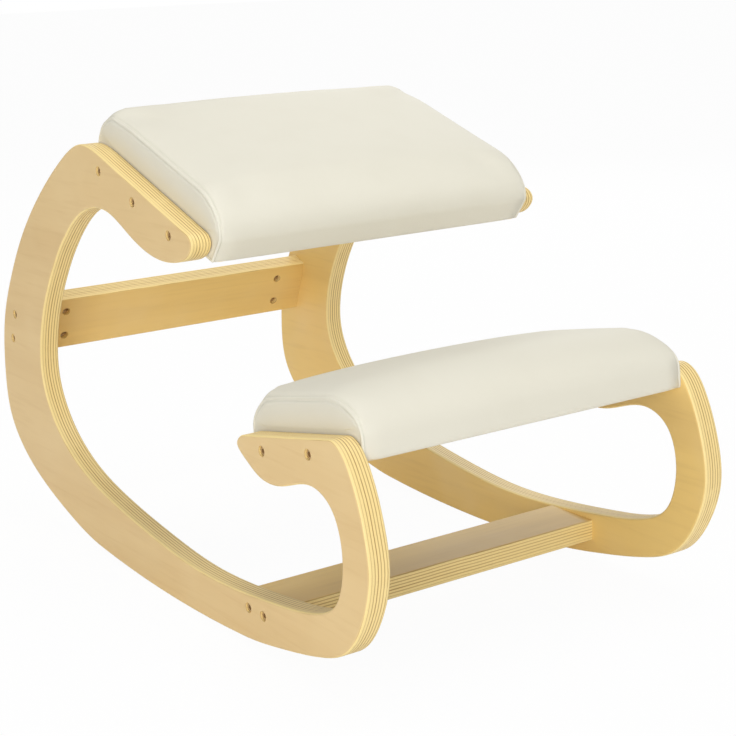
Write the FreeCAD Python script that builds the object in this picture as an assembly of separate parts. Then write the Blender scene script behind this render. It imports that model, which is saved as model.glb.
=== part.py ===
import FreeCAD, Part
import math
import os

os.makedirs("parts", exist_ok=True)

# A rocking kneeling chair. Sizes in mm: X across the chair, Y from the knee
# pad (minus) to the back of the frame (plus), Z up from the floor.

# Side frames, two flat plywood loops
chair_width = 440.0         # over the outer faces of both side frames
side_depth = 831.0          # front to back over a side frame
side_height = 486.0         # floor to the crown behind the seat
ply_thickness = 24.0
edge_rounding = 2.5
rocker_radius = 2100.0      # underside of the runner
rocker_low_point = -27.0    # Y where the runner touches the floor at rest


# Places on a side frame are given as shares: of side_depth, counted from the
# knee end, and of side_height
rocker_rear_end = 0.69      # where the rocker arc ends
rocker_front_end = 0.284

# Boards that join the side frames
rear_board_width = 72.0
bottom_board_width = 70.0
board_thickness = 24.0
board_edge_rounding = 2.0
rear_board_centre = (0.945, 0.5)
bottom_board_centre = (0.25, 0.0845)
rear_board_lean = 22.0      # degrees, its top edge is nearer the knees
rear_bolt_spacing = 35.0
bottom_bolt_spacing = 29.0

# Cushions. Along a cushion is measured from the front end of the arm below
# it, and height from the top edge of that arm.
cushion_board_thickness = 18.0
cover_thickness = 1.2
cover_hem = 28.0            # how far the cover turns under the board
dust_cover_thickness = 0.6
dust_cover_margin = 9.0     # hem left showing around the dust cover
seat_front = -27.0
seat_front_tuck = 9.0       # how far the foam overhangs the board in front
seat_depth = 279.0
seat_board_bottom = -27.0
seat_top = 46.0
seat_front_rounding = 40.0
seat_rear_rounding = 26.0
seat_side_rounding = 8.0
seat_first_bolt = 35.0
seat_bolt_spacing = 82.5
seat_bolt_count = 3
knee_front = -21.0
knee_front_tuck = 2.0
knee_depth = 200.0
knee_board_bottom = -24.0
knee_top = 48.0
knee_front_rounding = 44.0
knee_rear_rounding = 32.0
knee_side_rounding = 8.0
knee_first_bolt = 38.5
knee_bolt_spacing = 86.0
knee_bolt_count = 2

# Fasteners: M6 socket screws, barrel nuts, threaded inserts and staples
bolt_diameter = 6.0
bolt_clearance = 0.5        # added to the diameter of a plain bolt hole
bolt_head_diameter = 10.0
bolt_head_height = 6.0
bolt_recess_depth = 8.0
bolt_recess_clearance = 1.0
hex_key_width = 5.0
hex_key_depth = 3.0
barrel_nut_diameter = 10.0
barrel_nut_length = 14.0
barrel_nut_clearance = 0.2
barrel_nut_from_end = 40.0  # from the end of the board to the nut
bolt_past_nut = 2.0
insert_diameter = 9.0
insert_length = 13.0
insert_hole_extra = 6.0     # how much deeper the hole runs than the insert
staple_width = 10.0
staple_wire = 0.7
staple_leg = 6.0
staple_spacing = 46.0

# Sizes that follow from the ones above
cut_past = 1.0              # how far a cutting shape runs past the piece it cuts
inner_width = chair_width - 2 * ply_thickness
inner_face = inner_width / 2
outer_face = chair_width / 2
bolt_seat = outer_face - bolt_recess_depth
x_axis = FreeCAD.Vector(1, 0, 0)
y_axis = FreeCAD.Vector(0, 1, 0)
z_axis = FreeCAD.Vector(0, 0, 1)


def frame_point(depth_share, height_share):
    """A point of the side frame: shares of its depth from the front and of its height."""
    return FreeCAD.Vector(0, (depth_share - 0.5) * side_depth, height_share * side_height)


def on_rocker(y):
    """The point of the rocker arc that lies above the floor point y."""
    drop = y - rocker_low_point
    return FreeCAD.Vector(0, y, rocker_radius - math.sqrt(rocker_radius ** 2 - drop ** 2))


def rocker_direction(point):
    """Unit direction of the rocker arc at a point, towards the knees."""
    slope = (point.y - rocker_low_point) / (rocker_radius - point.z)
    return FreeCAD.Vector(0, -1, -slope).normalize()


def curve(points, start_direction, end_direction):
    """A smooth edge through points that leaves and arrives in given directions."""
    travelled = [0.0]
    for start, end in zip(points, points[1:]):
        travelled.append(travelled[-1] + start.distanceToPoint(end))
    spline = Part.BSplineCurve()
    spline.interpolate(Points=points, Parameters=travelled, Scale=False,
                       InitialTangent=start_direction, FinalTangent=end_direction)
    return spline.toShape()


def save(name, shape):
    shape.exportStep("parts/" + name + ".step")


# Arms: straight top edges that carry the cushions
seat_arm_front = frame_point(0.366, 0.847)
seat_arm_rear = frame_point(0.591, 0.979)
knee_arm_front = frame_point(0.07, 0.52)
knee_arm_rear = frame_point(0.258, 0.46)
seat_direction = (seat_arm_rear - seat_arm_front).normalize()
knee_direction = (knee_arm_rear - knee_arm_front).normalize()
seat_slope = math.degrees(math.atan2(seat_direction.z, seat_direction.y))
knee_slope = math.degrees(math.atan2(knee_direction.z, knee_direction.y))

# Side frame outline: crown, back, rocker, front, knee arm, then the inside of
# the loop and the seat arm
rocker_rear = on_rocker(frame_point(rocker_rear_end, 0).y)
rocker_front = on_rocker(frame_point(rocker_front_end, 0).y)
rocker_middle = on_rocker((rocker_rear.y + rocker_front.y) / 2)
back = [seat_arm_rear]
for point in [(0.651, 1.0), (0.721, 0.957), (0.799, 0.872), (0.891, 0.737), (0.943, 0.628),
              (0.981, 0.519), (1.0, 0.366), (0.993, 0.255), (0.948, 0.165), (0.881, 0.103),
              (0.799, 0.055)]:
    back.append(frame_point(*point))
back.append(rocker_rear)
front = [rocker_front]
for point in [(0.196, 0.033), (0.107, 0.066), (0.052, 0.107), (0.017, 0.185), (0.0, 0.282),
              (0.008, 0.377), (0.03, 0.471), (0.048, 0.509)]:
    front.append(frame_point(*point))
front.append(knee_arm_front)
loop = [knee_arm_rear]
for point in [(0.273, 0.44), (0.255, 0.41), (0.221, 0.383), (0.188, 0.381), (0.142, 0.403),
              (0.106, 0.412), (0.071, 0.385), (0.055, 0.329), (0.055, 0.257), (0.072, 0.193),
              (0.111, 0.156), (0.181, 0.132), (0.265, 0.115), (0.397, 0.104), (0.526, 0.124),
              (0.646, 0.156), (0.756, 0.212), (0.822, 0.292), (0.852, 0.391), (0.846, 0.492),
              (0.797, 0.648), (0.726, 0.776), (0.651, 0.85), (0.587, 0.856), (0.52, 0.811),
              (0.439, 0.776), (0.386, 0.785), (0.362, 0.804), (0.355, 0.827)]:
    loop.append(frame_point(*point))
loop.append(seat_arm_front)
side_outline = Part.Wire([
    curve(back, seat_direction, rocker_direction(rocker_rear)),
    Part.Arc(rocker_rear, rocker_middle, rocker_front).toShape(),
    curve(front, rocker_direction(rocker_front), knee_direction),
    Part.makeLine(knee_arm_front, knee_arm_rear),
    curve(loop, knee_direction, seat_direction),
    Part.makeLine(seat_arm_front, seat_arm_rear),
])
side_blank = Part.Face(side_outline).extrude(x_axis * ply_thickness)
rims = []
for edge in side_blank.Edges:
    if edge.BoundBox.XLength < edge_rounding:
        rims.append(edge)
side_blank = side_blank.makeFillet(edge_rounding, rims)
side_left = side_blank.translated(x_axis * -outer_face)
side_right = side_blank.translated(x_axis * inner_face)

# Local placements: a cushion or board is built level at the origin and set
# into the chair by one of these
seat_place = FreeCAD.Placement(seat_arm_front, FreeCAD.Rotation(x_axis, seat_slope))
knee_place = FreeCAD.Placement(knee_arm_front, FreeCAD.Rotation(x_axis, knee_slope))
rear_board_place = FreeCAD.Placement(frame_point(*rear_board_centre),
                                     FreeCAD.Rotation(x_axis, rear_board_lean))
bottom_board_place = FreeCAD.Placement(frame_point(*bottom_board_centre), FreeCAD.Rotation())


def box(x_low, x_high, y_low, y_high, z_low, z_high):
    corner = FreeCAD.Vector(x_low, y_low, z_low)
    return Part.makeBox(x_high - x_low, y_high - y_low, z_high - z_low, corner)


def across(side, x_start, x_end, radius, y, z):
    """A cylinder along X between two distances from the middle, on one side."""
    start = FreeCAD.Vector(side * x_start, y, z)
    return Part.makeCylinder(radius, abs(x_end - x_start), start,
                             x_axis * side * math.copysign(1, x_end - x_start))


def bolt(side, length, y, z):
    """A socket screw whose head sits in the recess of a side frame."""
    head = across(side, bolt_seat, bolt_seat + bolt_head_height, bolt_head_diameter / 2, y, z)
    shank = across(side, bolt_seat, bolt_seat - length, bolt_diameter / 2, y, z)
    corners = []
    for corner in range(7):
        angle = math.radians(60 * corner)
        reach = hex_key_width / math.sqrt(3)
        corners.append(FreeCAD.Vector(side * (bolt_seat + bolt_head_height - hex_key_depth),
                                      y + reach * math.cos(angle), z + reach * math.sin(angle)))
    socket = Part.Face(Part.makePolygon(corners)).extrude(x_axis * side * hex_key_depth)
    return head.fuse(shank).removeSplitter().cut(socket)


def bolt_hole(side, y, z):
    """What a bolt takes out of a side frame: a plain hole and the recess for its head."""
    hole = across(side, inner_face - cut_past, outer_face, (bolt_diameter + bolt_clearance) / 2, y, z)
    recess = across(side, bolt_seat, outer_face + cut_past,
                    (bolt_head_diameter + bolt_recess_clearance) / 2, y, z)
    return hole.fuse(recess)


def joining_board(width, thickness):
    """A plank between the side frames with its long edges eased."""
    plank = box(-inner_face, inner_face, -thickness / 2, thickness / 2, -width / 2, width / 2)
    long_edges = []
    for edge in plank.Edges:
        if edge.BoundBox.XLength > inner_face:
            long_edges.append(edge)
    return plank.makeFillet(board_edge_rounding, long_edges)


def barrel_nut(side, z):
    """A cross dowel with a screwdriver slot in the end that faces the knees."""
    x = side * (inner_face - barrel_nut_from_end)
    nut = Part.makeCylinder(barrel_nut_diameter / 2, barrel_nut_length,
                            FreeCAD.Vector(x, -barrel_nut_length / 2, z), y_axis)
    slot_half = barrel_nut_diameter / 2
    slot = box(x - slot_half, x + slot_half, -barrel_nut_length / 2,
               -barrel_nut_length / 2 + bolt_diameter / 4, z - bolt_diameter / 8,
               z + bolt_diameter / 8)
    thread = across(side, abs(x) - slot_half, abs(x) + slot_half, bolt_diameter / 2, 0, z)
    return nut.cut(slot).cut(thread)


def fit_board(width, spacing, place):
    """A plank with its barrel nuts and bolts, set into the chair.

    Returns the plank, the nuts, the bolts of the left and right sides and the
    holes the bolts need in the side frames.
    """
    plank = joining_board(width, board_thickness)
    bolt_length = bolt_seat - inner_face + barrel_nut_from_end + barrel_nut_diameter / 2 + bolt_past_nut
    hole_depth = barrel_nut_from_end + barrel_nut_diameter / 2 + 2 * bolt_past_nut
    nut_hole_end = barrel_nut_length / 2
    nuts = []
    bolts = {-1: [], 1: []}
    holes = {-1: [], 1: []}
    for side in (-1, 1):
        for z in (-spacing / 2, spacing / 2):
            nut_x = side * (inner_face - barrel_nut_from_end)
            nut_hole = Part.makeCylinder((barrel_nut_diameter + barrel_nut_clearance) / 2,
                                         board_thickness / 2 + nut_hole_end,
                                         FreeCAD.Vector(nut_x, -board_thickness / 2, z), y_axis)
            long_hole = across(side, inner_face - hole_depth, inner_face,
                               (bolt_diameter + bolt_clearance) / 2, 0, z)
            plank = plank.cut(nut_hole).cut(long_hole)
            nuts.append(barrel_nut(side, z))
            bolts[side].append(bolt(side, bolt_length, 0, z))
            holes[side].append(bolt_hole(side, 0, z))
    for shape in [plank] + nuts + bolts[-1] + bolts[1] + holes[-1] + holes[1]:
        shape.Placement = place.multiply(shape.Placement)
    return plank, nuts, bolts, holes


def pad_body(inset, front_end, front_tuck, depth, bottom, top, front_radius, rear_radius,
             side_radius):
    """A cushion outline shrunk by inset: rounded front, back and top side edges."""
    low_y = front_end + inset
    high_y = front_end + depth - inset
    low_z = bottom + inset
    high_z = top - inset
    front_radius = front_radius - inset
    rear_radius = rear_radius - inset
    half = inner_face - inset
    middle = math.sqrt(0.5)
    front_centre = FreeCAD.Vector(-half, low_y + front_radius, high_z - front_radius)
    rear_centre = FreeCAD.Vector(-half, high_y - rear_radius, high_z - rear_radius)
    front_low = front_centre + FreeCAD.Vector(0, -front_radius, 0)
    front_mid = front_centre + FreeCAD.Vector(0, -middle, middle) * front_radius
    front_high = front_centre + FreeCAD.Vector(0, 0, front_radius)
    rear_high = rear_centre + FreeCAD.Vector(0, 0, rear_radius)
    rear_mid = rear_centre + FreeCAD.Vector(0, middle, middle) * rear_radius
    rear_low = rear_centre + FreeCAD.Vector(0, rear_radius, 0)
    bottom_front = FreeCAD.Vector(-half, low_y + front_tuck, low_z)
    bottom_rear = FreeCAD.Vector(-half, high_y, low_z)
    outline = Part.Wire([
        Part.makeLine(bottom_front, front_low),
        Part.Arc(front_low, front_mid, front_high).toShape(),
        Part.makeLine(front_high, rear_high),
        Part.Arc(rear_high, rear_mid, rear_low).toShape(),
        Part.makeLine(rear_low, bottom_rear),
        Part.makeLine(bottom_rear, bottom_front),
    ])
    body = Part.Face(outline).extrude(x_axis * 2 * half)
    side_edges = []
    for edge in body.Edges:
        flat = edge.BoundBox.XLength < inset + 0.1
        if flat and edge.BoundBox.ZMax > low_z + cut_past:
            side_edges.append(edge)
    return body.makeFillet(side_radius - inset, side_edges)


def staple(x, y, z, along_x):
    """A staple driven up into the board, its back lying under the dust cover at z."""
    half = staple_width / 2
    wire = staple_wire / 2
    if along_x:
        back_bar = box(x - half, x + half, y - wire, y + wire, z - staple_wire, z)
        first_leg = box(x - half, x - half + staple_wire, y - wire, y + wire, z, z + staple_leg)
        second_leg = box(x + half - staple_wire, x + half, y - wire, y + wire, z, z + staple_leg)
    else:
        back_bar = box(x - wire, x + wire, y - half, y + half, z - staple_wire, z)
        first_leg = box(x - wire, x + wire, y - half, y - half + staple_wire, z, z + staple_leg)
        second_leg = box(x - wire, x + wire, y + half - staple_wire, y + half, z, z + staple_leg)
    return back_bar.fuse([first_leg, second_leg]).removeSplitter()


def staple_row(length):
    """Evenly spaced staple positions over a length, measured from its middle."""
    count = max(2, round(length / staple_spacing))
    step = length / count
    positions = []
    for index in range(count):
        positions.append((index + 0.5) * step - length / 2)
    return positions


def fit_cushion(front_end, front_tuck, depth, board_bottom, top, roundings, first_bolt,
                bolt_spacing, bolt_count, place):
    """A cushion with everything in it, set into the chair.

    Returns the solids by name, the bolts and the holes they need in the side
    frames.
    """
    cover_bottom = board_bottom - cover_thickness
    board_top = board_bottom + cushion_board_thickness
    bolt_height = board_bottom + cushion_board_thickness / 2
    rear_end = front_end + depth
    outer = pad_body(0, front_end, front_tuck, depth, cover_bottom, top, *roundings)
    core = pad_body(cover_thickness, front_end, front_tuck, depth, cover_bottom, top, *roundings)
    board_front = front_end + front_tuck + cover_thickness
    below_foam = box(-inner_face, inner_face, board_front, rear_end, cover_bottom, board_top)
    board = core.common(below_foam)
    foam = core.cut(below_foam)
    window = box(-inner_face + cover_hem, inner_face - cover_hem, board_front + cover_hem,
                 rear_end - cover_hem, cover_bottom - cut_past, board_bottom)
    cover = outer.cut(core).cut(window)
    dust_cover = box(-inner_face + dust_cover_margin, inner_face - dust_cover_margin,
                     board_front + dust_cover_margin, rear_end - dust_cover_margin,
                     cover_bottom - dust_cover_thickness, cover_bottom)

    # Staples in two rows across and two along, half way over the hem
    staple_z = cover_bottom - dust_cover_thickness
    staple_inset = (cover_hem + dust_cover_margin) / 2
    middle_y = (board_front + rear_end) / 2
    half_across = inner_face - staple_inset
    half_along = (rear_end - board_front) / 2 - staple_inset
    staples = []
    for side in (-1, 1):
        for x in staple_row(2 * half_across - 2 * staple_width):
            staples.append(staple(x, middle_y + side * half_along, staple_z, True))
        for y in staple_row(2 * half_along - 2 * staple_width):
            staples.append(staple(side * half_across, middle_y + y, staple_z, False))
    board = board.cut(staples)
    cover = cover.cut(staples)
    dust_cover = dust_cover.cut(staples)

    # Bolts through the side frames into threaded inserts in the board ends
    board_end = inner_face - cover_thickness
    bolt_length = bolt_seat - board_end + insert_length
    inserts = []
    bolts = {-1: [], 1: []}
    holes = {-1: [], 1: []}
    for side in (-1, 1):
        for index in range(bolt_count):
            y = first_bolt + index * bolt_spacing
            insert = across(side, board_end - insert_length, board_end,
                            insert_diameter / 2, y, bolt_height)
            thread = across(side, board_end - insert_length, board_end,
                            bolt_diameter / 2, y, bolt_height)
            deep_hole = across(side, board_end - insert_length - insert_hole_extra, board_end,
                               (bolt_diameter + bolt_clearance) / 2, y, bolt_height)
            cover_hole = across(side, board_end - cut_past, inner_face + cut_past,
                                (bolt_diameter + bolt_clearance) / 2, y, bolt_height)
            board = board.cut([insert, deep_hole])
            cover = cover.cut(cover_hole)
            inserts.append(insert.cut(thread))
            bolts[side].append(bolt(side, bolt_length, y, bolt_height))
            holes[side].append(bolt_hole(side, y, bolt_height))
    solids = {"base_board": board, "foam": foam, "cover": cover, "dust_cover": dust_cover}
    for shape in list(solids.values()) + staples + inserts:
        shape.Placement = place.multiply(shape.Placement)
    for side in (-1, 1):
        for shape in bolts[side] + holes[side]:
            shape.Placement = place.multiply(shape.Placement)
    solids["cover_staples"] = Part.makeCompound(staples)
    solids["threaded_inserts"] = Part.makeCompound(inserts)
    return solids, bolts, holes


seat, seat_bolts, seat_holes = fit_cushion(
    seat_front, seat_front_tuck, seat_depth, seat_board_bottom, seat_top,
    (seat_front_rounding, seat_rear_rounding, seat_side_rounding),
    seat_first_bolt, seat_bolt_spacing, seat_bolt_count, seat_place)
knee, knee_bolts, knee_holes = fit_cushion(
    knee_front, knee_front_tuck, knee_depth, knee_board_bottom, knee_top,
    (knee_front_rounding, knee_rear_rounding, knee_side_rounding),
    knee_first_bolt, knee_bolt_spacing, knee_bolt_count, knee_place)
rear_board, rear_nuts, rear_bolts, rear_holes = fit_board(
    rear_board_width, rear_bolt_spacing, rear_board_place)
bottom_turn = FreeCAD.Placement(FreeCAD.Vector(), FreeCAD.Rotation(x_axis, 90))
bottom_board, bottom_nuts, bottom_bolts, bottom_holes = fit_board(
    bottom_board_width, bottom_bolt_spacing, bottom_board_place.multiply(bottom_turn))

for side, name, blank in ((-1, "left", side_left), (1, "right", side_right)):
    holes = seat_holes[side] + knee_holes[side] + rear_holes[side] + bottom_holes[side]
    save("side_frame_" + name, blank.cut(holes))
    save("seat_bolts_" + name, Part.makeCompound(seat_bolts[side]))
    save("knee_bolts_" + name, Part.makeCompound(knee_bolts[side]))
    save("rear_stretcher_bolts_" + name, Part.makeCompound(rear_bolts[side]))
    save("bottom_stretcher_bolts_" + name, Part.makeCompound(bottom_bolts[side]))
for name, shape in seat.items():
    save("seat_" + name, shape)
for name, shape in knee.items():
    save("knee_" + name, shape)
save("rear_stretcher", rear_board)
save("rear_stretcher_barrel_nuts", Part.makeCompound(rear_nuts))
save("bottom_stretcher", bottom_board)
save("bottom_stretcher_barrel_nuts", Part.makeCompound(bottom_nuts))
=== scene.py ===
import math

import bmesh
import bpy
from mathutils import Matrix, Vector
from mathutils.kdtree import KDTree


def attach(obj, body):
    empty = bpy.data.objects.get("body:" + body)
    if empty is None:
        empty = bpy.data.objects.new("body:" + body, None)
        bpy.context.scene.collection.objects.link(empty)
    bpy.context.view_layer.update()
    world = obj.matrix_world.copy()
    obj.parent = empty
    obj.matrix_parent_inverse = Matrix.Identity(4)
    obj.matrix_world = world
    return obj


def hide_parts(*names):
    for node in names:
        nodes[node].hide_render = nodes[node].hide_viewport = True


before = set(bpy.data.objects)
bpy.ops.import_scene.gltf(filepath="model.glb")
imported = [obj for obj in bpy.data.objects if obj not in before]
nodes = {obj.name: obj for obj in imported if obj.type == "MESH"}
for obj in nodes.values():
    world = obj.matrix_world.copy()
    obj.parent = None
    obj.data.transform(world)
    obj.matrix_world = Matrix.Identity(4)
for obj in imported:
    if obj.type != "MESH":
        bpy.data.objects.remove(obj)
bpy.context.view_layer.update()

# Sizes in metres, matching the chair's solids
chair_width = 0.440
ply_thickness = 0.024
sheet_pair = 0.0034
inner_face = chair_width / 2 - ply_thickness
rear_board_lean = math.radians(22)
rear_board_centre = Vector((0, 0.3698, 0.2430))
bottom_board_centre = Vector((0, -0.20775, 0.04107))
seat_arm_front = Vector((0, -0.11135, 0.41164))
seat_slope = math.radians(18.937)
knee_arm_front = Vector((0, -0.35733, 0.25272))
knee_slope = math.radians(-10.573)

# Cushions: roundings, the sewn seam round each end, and how finely they are divided
corner_radius = 0.004
end_corner_radius = 0.004
rear_corner_reach = 0.080
board_rise = 0.022
end_bulge = 0.0025
seam_turn = math.radians(58)
seam_roll_height = 0.0011
seam_roll_width = 0.0026
seam_groove_width = 0.0014
seam_groove_depth = 0.0009
seam_turns = (10, 20, 28, 34, 38, 42, 46, 50, 54, 58, 62, 66, 70, 74, 78, 82, 86, 90)
sheet_columns = 60
sheet_step = 0.004
underside_strips = 30
end_rings = 8

# Cloth simulation of a coarse copy
cage_turns = (30, 60, 90)
cage_columns = 36
cage_step = 0.010
cover_pressure = 4
last_frame = 20
nearest_points = 16


def srgb(red, green, blue):
    """A colour given as eight-bit display values, as linear light with alpha."""
    linear = []
    for value in (red, green, blue):
        value = value / 255
        linear.append(value / 12.92 if value < 0.04045 else ((value + 0.055) / 1.055) ** 2.4)
    return (*linear, 1.0)


# Colours as they look in plain light, except the inner veneer, a warmer, brighter copy of the outer one
# with painted light in it
veneer_outer = srgb(233, 202, 145)
# Painted light: the same birch veneer made warmer and brighter for the shaded faces under the seat
veneer_painted_warm_light = srgb(242, 206, 126)
veneer_dark = srgb(204, 163, 100)
veneer_pale = srgb(243, 218, 166)
edge_light = srgb(249, 224, 155)
edge_dark = srgb(178, 134, 72)
leather_colour = srgb(229, 225, 209)
leather_fold = srgb(214, 208, 188)


class Nodes:
    """A small wrapper that makes a material's node tree short to write."""

    def __init__(self, name):
        self.material = bpy.data.materials.new(name)
        self.material.use_nodes = True
        self.tree = self.material.node_tree
        self.tree.nodes.clear()
        self.output = self.tree.nodes.new("ShaderNodeOutputMaterial")

    def add(self, kind, inputs=None, **settings):
        """Adds a node, sets its settings, and sets or links its inputs."""
        node = self.tree.nodes.new("ShaderNode" + kind)
        for key, value in settings.items():
            setattr(node, key, value)
        for key, value in (inputs or {}).items():
            if isinstance(value, bpy.types.NodeSocket):
                self.tree.links.new(value, node.inputs[key])
            else:
                node.inputs[key].default_value = value
        return node

    def math(self, operation, first, second=0.0):
        return self.add("Math", {0: first, 1: second}, operation=operation).outputs[0]

    def between(self, value, low, high):
        """A value from 0 to 1 moved in proportion to run from low to high."""
        return self.math("ADD", self.math("MULTIPLY", value, high - low), low)

    def mix(self, factor, first, second):
        return self.add("Mix", {0: factor, 6: first, 7: second}, data_type="RGBA").outputs[2]

    def noise(self, vector, scale, detail=3.0, roughness=0.5):
        node = self.add("TexNoise", {"Vector": vector, "Scale": scale, "Detail": detail,
                                     "Roughness": roughness})
        return node.outputs[0]

    def stretched(self, vector, scale):
        return self.add("Mapping", {"Vector": vector, "Scale": scale}).outputs[0]

    def ramp(self, value, low, high):
        """A value mapped smoothly from 0 at low to 1 at high."""
        node = self.add("MapRange", {0: value, 1: low, 2: high}, interpolation_type="SMOOTHSTEP")
        return node.outputs[0]

    def surface(self, shader):
        self.tree.links.new(shader, self.output.inputs["Surface"])
        return self.material


def plywood(name, axis, centre, grain_scale, front_veneer, back_veneer):
    """Lacquered birch plywood whose sheets are stacked along axis.

    Broad faces along the axis show veneer, front_veneer on the side the axis
    points away from. Everything else shows the stacked sheets.
    """
    make = Nodes(name)
    place = make.add("TexCoord").outputs["Object"]
    from_centre = make.add("VectorMath", {0: place, 1: centre}, operation="SUBTRACT").outputs[0]
    across = make.add("VectorMath", {0: from_centre, 1: axis}, operation="DOT_PRODUCT").outputs["Value"]
    normal = make.add("NewGeometry").outputs["Normal"]
    facing = make.add("VectorMath", {0: normal, 1: axis}, operation="DOT_PRODUCT").outputs["Value"]
    is_veneer = make.ramp(make.math("ABSOLUTE", facing), 0.80, 0.90)

    # Veneer: soft long figure, fine fibres and a little blotching
    long_grain = make.stretched(place, grain_scale)
    figure = make.noise(long_grain, 14.0, 4.0, 0.55)
    fibres = make.noise(long_grain, 160.0, 2.0, 0.6)
    blotches = make.noise(place, 9.0, 2.0)
    front = make.ramp(facing, -0.5, 0.5)
    plain = make.mix(front, front_veneer, back_veneer)
    veneer = make.mix(make.math("MULTIPLY", make.ramp(figure, 0.42, 0.72), 0.30), plain, veneer_dark)
    veneer = make.mix(make.math("MULTIPLY", make.ramp(fibres, 0.48, 0.75), 0.16), veneer, veneer_dark)
    veneer = make.mix(make.math("MULTIPLY", make.ramp(blotches, 0.45, 0.8), 0.25), veneer, veneer_pale)

    # Edges: thin dark sheets between pale ones, each line uneven along its length
    wander = make.math("SUBTRACT", make.noise(place, 22.0, 1.0), 0.5)
    wander = make.math("MULTIPLY", wander, sheet_pair * 0.35)
    sheets_deep = make.math("ADD", make.math("ADD", across, ply_thickness), wander)
    sheets_deep = make.math("DIVIDE", sheets_deep, sheet_pair)
    shade = make.add("TexWhiteNoise", {"W": make.math("FLOOR", sheets_deep)},
                     noise_dimensions="1D").outputs["Value"]
    off_line = make.math("ABSOLUTE", make.math("SUBTRACT", make.math("FRACT", sheets_deep), 0.5))
    line = make.math("SUBTRACT", 1.0, make.ramp(off_line, 0.09, 0.22))
    end_grain = make.noise(place, 900.0, 2.0, 0.7)
    streaks = make.noise(long_grain, 45.0, 3.0)
    line = make.math("MULTIPLY", line, make.between(shade, 0.35, 1.0))
    line = make.math("MULTIPLY", line, make.ramp(streaks, 0.12, 0.50))
    sheets = make.mix(line, edge_light, edge_dark)
    sheets = make.mix(make.math("MULTIPLY", make.ramp(end_grain, 0.52, 0.75), 0.18), sheets, edge_dark)

    colour = make.mix(is_veneer, sheets, veneer)
    relief = make.math("ADD", make.math("MULTIPLY", fibres, 0.6), make.math("MULTIPLY", end_grain, 0.4))
    bump = make.add("Bump", {"Strength": 0.12, "Distance": 0.0004, "Height": relief}).outputs[0]
    shader = make.add("BsdfPrincipled", {"Base Color": colour, "Roughness": 0.50, "Normal": bump,
                                         "Coat Weight": 0.06, "Coat Roughness": 0.30})
    return make.surface(shader.outputs[0])


def leather():
    """Off-white coated leather with a fine pebbled grain."""
    make = Nodes("off_white_leather")
    place = make.add("TexCoord").outputs["Object"]
    cells = make.add("TexVoronoi", {"Vector": place, "Scale": 620.0}).outputs["Distance"]
    pebbles = make.noise(place, 900.0, 3.0, 0.6)
    mottling = make.noise(place, 16.0, 3.0)
    colour = make.mix(make.math("MULTIPLY", make.ramp(mottling, 0.40, 0.75), 0.10),
                      leather_colour, leather_fold)
    grain = make.math("ADD", make.math("MULTIPLY", cells, 0.5), make.math("MULTIPLY", pebbles, 0.5))
    bump = make.add("Bump", {"Strength": 0.22, "Distance": 0.0005, "Height": grain}).outputs[0]
    shader = make.add("BsdfPrincipled", {"Base Color": colour, "Roughness": 0.58, "Normal": bump,
                                         "Specular IOR Level": 0.35})
    return make.surface(shader.outputs[0])


def plated_steel(name, colour, roughness):
    make = Nodes(name)
    place = make.add("TexCoord").outputs["Object"]
    scratches = make.noise(make.stretched(place, (1.0, 12.0, 12.0)), 300.0, 2.0)
    bump = make.add("Bump", {"Strength": 0.1, "Distance": 0.0002, "Height": scratches}).outputs[0]
    shader = make.add("BsdfPrincipled", {"Base Color": colour, "Metallic": 1.0,
                                         "Roughness": roughness, "Normal": bump})
    return make.surface(shader.outputs[0])


def dust_cloth():
    make = Nodes("black_dust_cloth")
    place = make.add("TexCoord").outputs["Object"]
    fibres = make.noise(place, 700.0, 4.0, 0.7)
    colour = make.mix(fibres, srgb(18, 18, 19), srgb(46, 46, 48))
    bump = make.add("Bump", {"Strength": 0.5, "Distance": 0.0005, "Height": fibres}).outputs[0]
    shader = make.add("BsdfPrincipled", {"Base Color": colour, "Roughness": 0.95, "Normal": bump})
    return make.surface(shader.outputs[0])


# A side frame shows the plain veneer outwards; inwards it shows a warmer, more golden copy, painted
# warm light standing in for the shaded, bounce-lit inner faces
x_axis = Vector((1, 0, 0))
side_centre = inner_face + ply_thickness / 2
grain_along_y = (1.0, 0.06, 1.0)
grain_along_x = (0.06, 1.0, 1.0)
left_ply = plywood("side_plywood_left", x_axis, Vector((-side_centre, 0, 0)), grain_along_y,
                   veneer_outer, veneer_painted_warm_light)
right_ply = plywood("side_plywood_right", x_axis, Vector((side_centre, 0, 0)), grain_along_y,
                    veneer_painted_warm_light, veneer_outer)
rear_axis = Vector((0, math.cos(rear_board_lean), math.sin(rear_board_lean)))
# The rear and bottom boards show the veneer copy with painted warm light on both faces
rear_ply = plywood("rear_board_plywood", rear_axis, rear_board_centre, grain_along_x,
                   veneer_painted_warm_light, veneer_painted_warm_light)
bottom_ply = plywood("bottom_board_plywood", Vector((0, 0, 1)), bottom_board_centre, grain_along_x,
                     veneer_painted_warm_light, veneer_painted_warm_light)
leather_material = leather()
bolt_steel = plated_steel("zinc_plated_steel", srgb(206, 180, 140), 0.58)
staple_steel = plated_steel("staple_wire", srgb(190, 190, 188), 0.3)
insert_brass = plated_steel("insert_brass", srgb(205, 176, 112), 0.35)
cloth_material = dust_cloth()


def material_for(name):
    if name == "side_frame_left":
        return left_ply
    if name == "side_frame_right":
        return right_ply
    if name == "rear_stretcher":
        return rear_ply
    if name == "bottom_stretcher" or name.endswith("base_board"):
        return bottom_ply
    if name.endswith("staples"):
        return staple_steel
    if name.endswith("inserts"):
        return insert_brass
    if name.endswith("dust_cover"):
        return cloth_material
    if "bolts" in name or "nuts" in name:
        return bolt_steel
    return leather_material


for name, piece in nodes.items():
    piece.data.materials.clear()
    piece.data.materials.append(material_for(name))


def eased(share):
    """A share from 0 to 1 that starts and ends softly."""
    return share * share * (3 - 2 * share)


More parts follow.
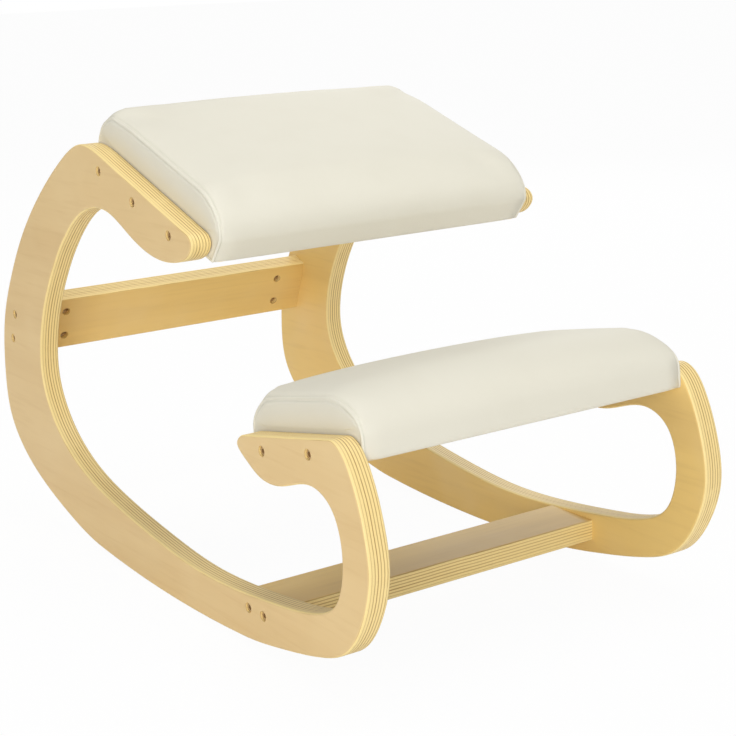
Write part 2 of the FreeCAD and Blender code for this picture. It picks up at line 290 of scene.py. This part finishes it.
# Cushions. A cushion is one sheet of leather wrapped from the front edge of
# its underside over the top to the back edge, with a sewn panel at each end.
class Pad:
    """Shape of a cushion in its own axes: y along the arm below it, z away from it."""

    def __init__(self, front, front_tuck, depth, bottom, top, front_round, rear_round, end_radius,
                 rear_corner, crown, end_drop, swelling, arm_front, slope):
        self.front = front
        self.front_tuck = front_tuck
        self.rear = front + depth
        self.bottom = bottom
        self.top = top
        self.front_round = front_round
        self.rear_round = rear_round
        self.end_radius = end_radius
        self.rear_corner = rear_corner
        self.crown = crown
        self.end_drop = end_drop
        self.swelling = swelling
        self.place = Matrix.Translation(arm_front) @ Matrix.Rotation(slope, 4, "X")

    def outline(self, step):
        """Points and outward normals around the middle of the cushion, front to back."""
        front_deep, front_high = self.front_round
        rear_deep, rear_high = self.rear_round
        front_knee = (self.front, self.top - front_high)
        rear_knee = (self.rear, self.top - rear_high)
        slant = math.atan2(self.front_tuck, front_knee[1] - self.bottom)
        corner = (corner_radius, corner_radius)
        low = self.bottom + corner_radius
        front_low = (self.front + self.front_tuck + corner_radius, low)
        slant_start = (front_low[0] - corner_radius * math.cos(slant),
                       low - corner_radius * math.sin(slant))
        rows = arc(front_low, corner, -90, math.degrees(slant) - 180, step)
        rows += line(slant_start, front_knee, step)
        rows += arc((self.front + front_deep, front_knee[1]), self.front_round, 180, 90, step)
        rows += line((self.front + front_deep, self.top), (self.rear - rear_deep, self.top), step)
        rows += arc((self.rear - rear_deep, rear_knee[1]), self.rear_round, 90, 0, step)
        rows += line(rear_knee, (self.rear, low), step)
        rows += arc((self.rear - corner_radius, low), corner, 0, -90, step)
        rows.append((self.rear - corner_radius, self.bottom, 0.0, -1.0))
        return rows

    def softness(self, z):
        """0 beside the stiff board, rising to 1 at the top of the foam."""
        board_top = self.bottom + board_rise
        return eased(min(1.0, max(0.0, (z - board_top) / (self.top - board_top))))

    def radius_at(self, row):
        """Rounding between the sheet and an end, widest at the back of the top."""
        share = max(0.0, 1 - (self.rear - row[0]) / rear_corner_reach)
        radius = self.end_radius + (self.rear_corner - self.end_radius) * eased(share)
        return end_corner_radius + (radius - end_corner_radius) * self.softness(row[1])

    def surface(self, x, row, turn):
        """A point of the wrapped sheet: x across, row of the outline, turn round the end."""
        y, z, normal_y, normal_z = row
        soft = self.softness(z)
        along = (y - self.front) / (self.rear - self.front)
        arch = 1 - (2 * along - 1) ** 2
        middle = 1 - (abs(x) / inner_face) ** 2.5
        swell = soft * (self.crown * (0.45 * arch + 0.55) * middle - self.end_drop * (1 - middle))
        radius = self.radius_at(row)
        inset = radius * (1 - math.cos(turn)) - swell
        from_end = radius * (1 - math.sin(turn))
        across = x if turn == 0.0 else math.copysign(inner_face - from_end, x)
        return Vector((across, y - normal_y * inset, z - normal_z * inset))


def arc(centre, radii, start, end, step):
    """Rows along an elliptical arc, its last point left to the next part."""
    rows = []
    turned = math.radians(end - start)
    count = max(3, round(abs(turned) * max(radii) / step))
    for index in range(count):
        angle = math.radians(start) + turned * index / count
        normal_y = math.cos(angle) / radii[0]
        normal_z = math.sin(angle) / radii[1]
        length = math.hypot(normal_y, normal_z)
        rows.append((centre[0] + radii[0] * math.cos(angle), centre[1] + radii[1] * math.sin(angle),
                     normal_y / length, normal_z / length))
    return rows


def line(start, end, step):
    """Rows along a straight part, its last point left to the next part."""
    rows = []
    length = math.dist(start, end)
    count = max(2, round(length / step))
    for index in range(count):
        share = index / count
        rows.append((start[0] + (end[0] - start[0]) * share, start[1] + (end[1] - start[1]) * share,
                     -(end[1] - start[1]) / length, (end[0] - start[0]) / length))
    return rows


def hump(distance, width):
    """1 at distance 0, falling smoothly to 0 at width."""
    share = abs(distance) / width
    return 0.0 if share >= 1 else (1 - share * share) ** 2


def seam_relief(pad, row, x, turn):
    """The sewn seam round an end: a soft roll of leather with a groove on each side."""
    radius = pad.radius_at(row)
    distance = (turn - seam_turn) * radius
    roll = seam_roll_height * hump(distance, seam_roll_width)
    grooves = hump(distance - seam_roll_width, seam_groove_width)
    grooves += hump(distance + seam_roll_width, seam_groove_width)
    flat_share = math.cos(turn)
    outward = Vector((math.copysign(math.sin(turn), x), row[2] * flat_share, row[3] * flat_share))
    return outward * (roll - seam_groove_depth * grooves)


def wrapped_mesh(pad, rows, columns, with_seam):
    """Points and faces of a cushion: wrapped sheet, underside and two end panels."""
    points = []
    for x, turn in columns:
        for row in rows:
            point = pad.surface(x, row, turn)
            if with_seam and turn:
                point += seam_relief(pad, row, x, turn)
            points.append(point)
    count = len(rows)
    faces = []
    for column in range(len(columns) - 1):
        for index in range(count - 1):
            low = column * count + index
            faces.append((low, low + count, low + count + 1, low + 1))

    # Underside
    under = []
    for column in range(len(columns)):
        strip = [column * count]
        first = points[column * count]
        last = points[column * count + count - 1]
        for index in range(1, underside_strips):
            strip.append(len(points))
            points.append(first.lerp(last, index / underside_strips))
        strip.append(column * count + count - 1)
        under.append(strip)
    for column in range(len(columns) - 1):
        for index in range(underside_strips):
            faces.append((under[column][index], under[column][index + 1],
                          under[column + 1][index + 1], under[column + 1][index]))

    # End panels, as rings that close on a middle line
    middle_z = (pad.bottom + pad.top) / 2 - 0.004
    reach = (pad.top - pad.bottom) / 2 - 0.006
    for column, side in ((0, -1), (len(columns) - 1, 1)):
        ring = [column * count + index for index in range(count)]
        ring += list(reversed(under[column][1:-1]))
        outer = [points[index].copy() for index in ring]
        for level in range(1, end_rings + 1):
            share = level / end_rings
            inner = []
            for point in outer:
                target_y = min(pad.rear - reach, max(pad.front + reach, point.y))
                moved = point.lerp(Vector((point.x, target_y, middle_z)), share)
                bulge = end_bulge * pad.softness(moved.z) * math.sin(math.pi / 2 * share)
                moved.x += side * bulge
                inner.append(len(points))
                points.append(moved)
            for index in range(len(ring)):
                after = (index + 1) % len(ring)
                quad = (ring[index], ring[after], inner[after], inner[index])
                faces.append(quad if side < 0 else tuple(reversed(quad)))
            ring = inner
    return points, faces


def new_piece(name, points, faces):
    """Adds a mesh, merges its doubled points and turns every face outwards."""
    mesh = bpy.data.meshes.new(name)
    mesh.from_pydata(points, [], faces)
    shape = bmesh.new()
    shape.from_mesh(mesh)
    bmesh.ops.remove_doubles(shape, verts=shape.verts, dist=0.00015)
    bmesh.ops.dissolve_degenerate(shape, dist=0.00005, edges=shape.edges)
    bmesh.ops.recalc_face_normals(shape, faces=shape.faces)
    for face in shape.faces:
        face.smooth = True
    shape.to_mesh(mesh)
    shape.free()
    piece = bpy.data.objects.new(name, mesh)
    bpy.context.scene.collection.objects.link(piece)
    return piece


def columns_across(pad, count, degrees):
    """Where a cushion's columns run, each as a place across and a turn round an end."""
    half = inner_face - pad.rear_corner
    turns = [math.radians(angle) for angle in degrees]
    columns = [(-inner_face, turn) for turn in reversed(turns)]
    columns += [(-half + 2 * half * index / count, 0.0) for index in range(count + 1)]
    columns += [(inner_face, turn) for turn in turns]
    return columns


def swollen(pad):
    """How far each part of the cover moves when the foam presses it out.

    A coarse copy of the cushion is blown up in a short cloth simulation, held
    where the board stiffens it. The result is a list of places and moves.
    """
    columns = columns_across(pad, cage_columns, cage_turns)
    points, faces = wrapped_mesh(pad, pad.outline(cage_step), columns, False)
    cage = new_piece("swelling_cage", points, faces)
    before = [vertex.co.copy() for vertex in cage.data.vertices]
    held = cage.vertex_groups.new(name="held")
    for vertex in cage.data.vertices:
        held.add([vertex.index], 1 - pad.softness(vertex.co.z), "REPLACE")
    cloth = cage.modifiers.new("cover", "CLOTH")
    cloth.settings.quality = 6
    cloth.settings.mass = 0.4
    cloth.settings.tension_stiffness = 40
    cloth.settings.compression_stiffness = 40
    cloth.settings.bending_stiffness = 4
    cloth.settings.use_pressure = True
    cloth.settings.uniform_pressure_force = cover_pressure
    cloth.settings.vertex_group_mass = "held"
    cloth.settings.effector_weights.gravity = 0
    cloth.point_cache.frame_start = 1
    cloth.point_cache.frame_end = last_frame
    for step in range(1, last_frame + 1):
        bpy.context.scene.frame_set(step)
    evaluated = cage.evaluated_get(bpy.context.evaluated_depsgraph_get())
    after = [vertex.co.copy() for vertex in evaluated.data.vertices]
    bpy.context.scene.frame_set(1)
    mesh = cage.data
    bpy.data.objects.remove(cage)
    bpy.data.meshes.remove(mesh)
    return [(old, new - old) for old, new in zip(before, after)]


def swell_points(pad, points):
    """Moves a cushion's points with the swollen cover, never further than its swelling."""
    moves = swollen(pad)
    tree = KDTree(len(moves))
    for index, (place, _) in enumerate(moves):
        tree.insert(place, index)
    tree.balance()
    for index, point in enumerate(points):
        total = Vector()
        weight_sum = 0.0
        for _, near, distance in tree.find_n(point, nearest_points):
            weight = math.exp(-(distance / cage_step) ** 2)
            total += moves[near][1] * weight
            weight_sum += weight
        move = total / weight_sum
        if move.length:
            reached = pad.swelling * (1 - math.exp(-move.length / pad.swelling))
            points[index] = point + move * (reached / move.length) * pad.softness(point.z)


def build_cushion(name, pad):
    """Makes the finished cushion with its seams."""
    columns = columns_across(pad, sheet_columns, seam_turns)
    points, faces = wrapped_mesh(pad, pad.outline(sheet_step), columns, True)
    swell_points(pad, points)
    piece = new_piece(name, [pad.place @ point for point in points], faces)
    piece.data.materials.append(leather_material)
    return piece


seat_pad = Pad(front=-0.0272, front_tuck=0.009, depth=0.2795, bottom=-0.0282, top=0.0405,
               front_round=(0.058, 0.040), rear_round=(0.028, 0.030), end_radius=0.012,
               rear_corner=0.021, crown=0.004, end_drop=0.001, swelling=0.004, arm_front=seat_arm_front,
               slope=seat_slope)
knee_pad = Pad(front=-0.0212, front_tuck=0.002, depth=0.2005, bottom=-0.0252, top=0.0420,
               front_round=(0.060, 0.044), rear_round=(0.034, 0.036), end_radius=0.015,
               rear_corner=0.020, crown=0.006, end_drop=0.002, swelling=0.005, arm_front=knee_arm_front,
               slope=knee_slope)
for name, pad, replaced in (("seat_cushion", seat_pad, ("seat_cover", "seat_foam")),
                            ("knee_cushion", knee_pad, ("knee_cover", "knee_foam"))):
    cushion = build_cushion(name, pad)
    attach(cushion, "root")
    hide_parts(*replaced)


# Floor and light
def white_floor():
    """A pale floor that the camera sees almost white, with the chair's soft shadow."""
    make = Nodes("pale_floor")
    diffuse = make.add("BsdfDiffuse", {"Color": srgb(250, 250, 250)}).outputs[0]
    glow = make.add("Emission", {"Color": (1, 1, 1, 1), "Strength": 1.0}).outputs[0]
    seen = make.add("LightPath").outputs["Is Camera Ray"]
    share = make.math("MULTIPLY", seen, 0.96)
    return make.surface(make.add("MixShader", {0: share, 1: diffuse, 2: glow}).outputs[0])


bpy.ops.mesh.primitive_plane_add(size=80, location=(0, 0, -0.0005))
floor = bpy.context.object
floor.name = "floor"
floor.data.materials.append(white_floor())

world = bpy.data.worlds.new("studio")
bpy.context.scene.world = world
world.use_nodes = True
tree = world.node_tree
tree.nodes.clear()
path = tree.nodes.new("ShaderNodeLightPath")
either = tree.nodes.new("ShaderNodeMath")
either.operation = "MAXIMUM"
tree.links.new(path.outputs["Is Camera Ray"], either.inputs[0])
tree.links.new(path.outputs["Is Transmission Ray"], either.inputs[1])
strength = tree.nodes.new("ShaderNodeMapRange")
tree.links.new(either.outputs[0], strength.inputs["Value"])
strength.inputs["To Min"].default_value = 0.465
strength.inputs["To Max"].default_value = 1.0
background = tree.nodes.new("ShaderNodeBackground")
background.inputs["Color"].default_value = (1, 1, 1, 1)
tree.links.new(strength.outputs[0], background.inputs["Strength"])
output = tree.nodes.new("ShaderNodeOutputWorld")
tree.links.new(background.outputs[0], output.inputs["Surface"])


def lamp(name, place, target, size, watts):
    data = bpy.data.lights.new(name, "AREA")
    data.shape = "DISK"
    data.size = size
    data.energy = watts
    light = bpy.data.objects.new(name, data)
    light.location = place
    light.rotation_euler = (Vector(target) - Vector(place)).to_track_quat("-Z", "Y").to_euler()
    bpy.context.scene.collection.objects.link(light)


lamp("top_light", (0.2, -0.4, 3.3), (0, 0, 0.25), 2.0, 36)
lamp("front_light", (-2.9, -3.4, 1.0), (0, 0, 0.25), 2.6, 92)
lamp("rear_light", (2.2, 2.4, 1.8), (0, 0, 0.25), 2.0, 20)

# Camera at the photograph's viewing angle
camera_place = Vector((-0.96214, -1.54054, 0.65614))
camera_right = Vector((0.82602699, -0.56225759, -0.03931688))
camera_up = Vector((0.16440013, 0.17362601, 0.97099259))
camera_back = -Vector((0.53912152, 0.80852979, -0.23585499))
image_side = 736
focal_pixels = 1624.33
camera_data = bpy.data.cameras.new("photo_camera")
camera_data.sensor_width = 36
camera_data.lens = 36 * focal_pixels / image_side
camera = bpy.data.objects.new("photo_camera", camera_data)
turn = Matrix((camera_right, camera_up, camera_back)).transposed()
camera.matrix_world = Matrix.Translation(camera_place) @ turn.to_4x4()
bpy.context.scene.collection.objects.link(camera)
bpy.context.scene.camera = camera
bpy.context.scene.view_settings.view_transform = "Standard"
